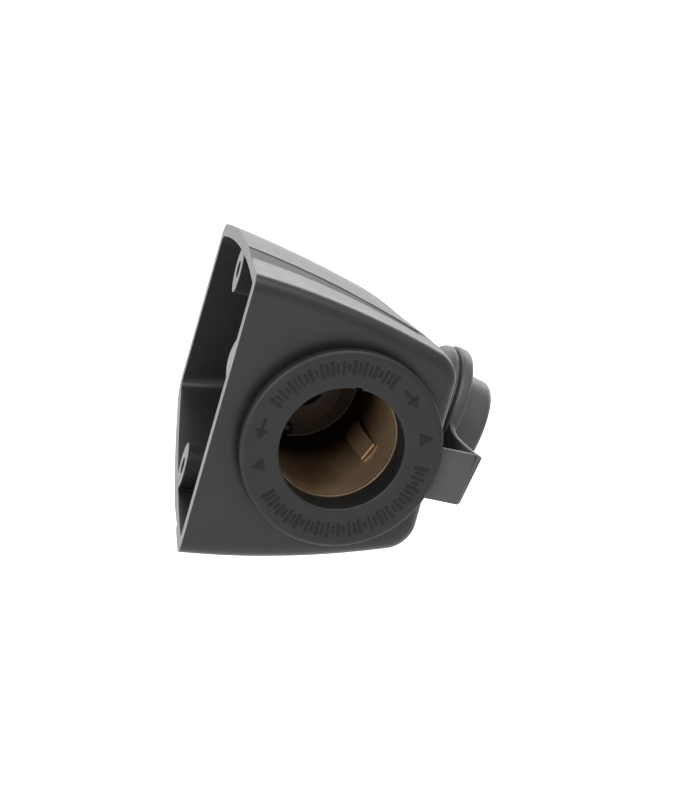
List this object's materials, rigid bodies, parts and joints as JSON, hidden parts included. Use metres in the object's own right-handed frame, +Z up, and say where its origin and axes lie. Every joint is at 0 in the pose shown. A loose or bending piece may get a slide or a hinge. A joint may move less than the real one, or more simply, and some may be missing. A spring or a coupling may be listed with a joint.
{
  "type": "surface-mount power socket pod",
  "caption": "Black surface-mount pod with a round twist-lock 12 V power socket on its side face and a tethered rubber dust cap, shown open.",
  "frame": {"origin": "on the mounting plane, midway between the two screw holes", "axes": "+X forward away from the mounting surface, +Y from the socket face into the pod, +Z up towards the upper screw hole"},
  "size_m": [0.0492, 0.0648, 0.0524],
  "materials": {
    "housing_plastic": "satin black moulded plastic with a fine spark-eroded grain",
    "socket_plastic": "fine matt black moulded plastic",
    "cap_rubber": "smooth dull black rubber with paler edges",
    "grey_plastic": "dark grey moulded plastic",
    "contact_brass": "dulled drawn brass, brownish",
    "plated_steel": "bright plated steel",
    "insulator": "brown phenolic board"
  },
  "bodies": {
    "root": {"housing": "housing_plastic", "socket_body": "socket_plastic", "tether_strap": "cap_rubber", "lock_washer": "plated_steel", "locknut": "socket_plastic", "brass_barrel": "contact_brass", "side_spring_1": "contact_brass", "side_spring_2": "contact_brass", "side_spring_3": "contact_brass", "rear_shell": "grey_plastic", "rear_insulator": "insulator", "centre_contact": "contact_brass", "insulating_bush": "insulator", "positive_tab": "plated_steel", "centre_washer": "plated_steel", "centre_nut": "contact_brass", "negative_tab": "plated_steel", "negative_rivet": "contact_brass"},
    "cap": {"cap": "cap_rubber"}
  },
  "joints": [
    {"name": "cap_hinge", "type": "hinge", "parent": "root", "child": "cap", "pos_m": [0.04623, -0.02052, -0.0025], "axis": [-0.1592, 0.0718, -0.9846], "range_deg": [0, 266.5]}
  ]
}
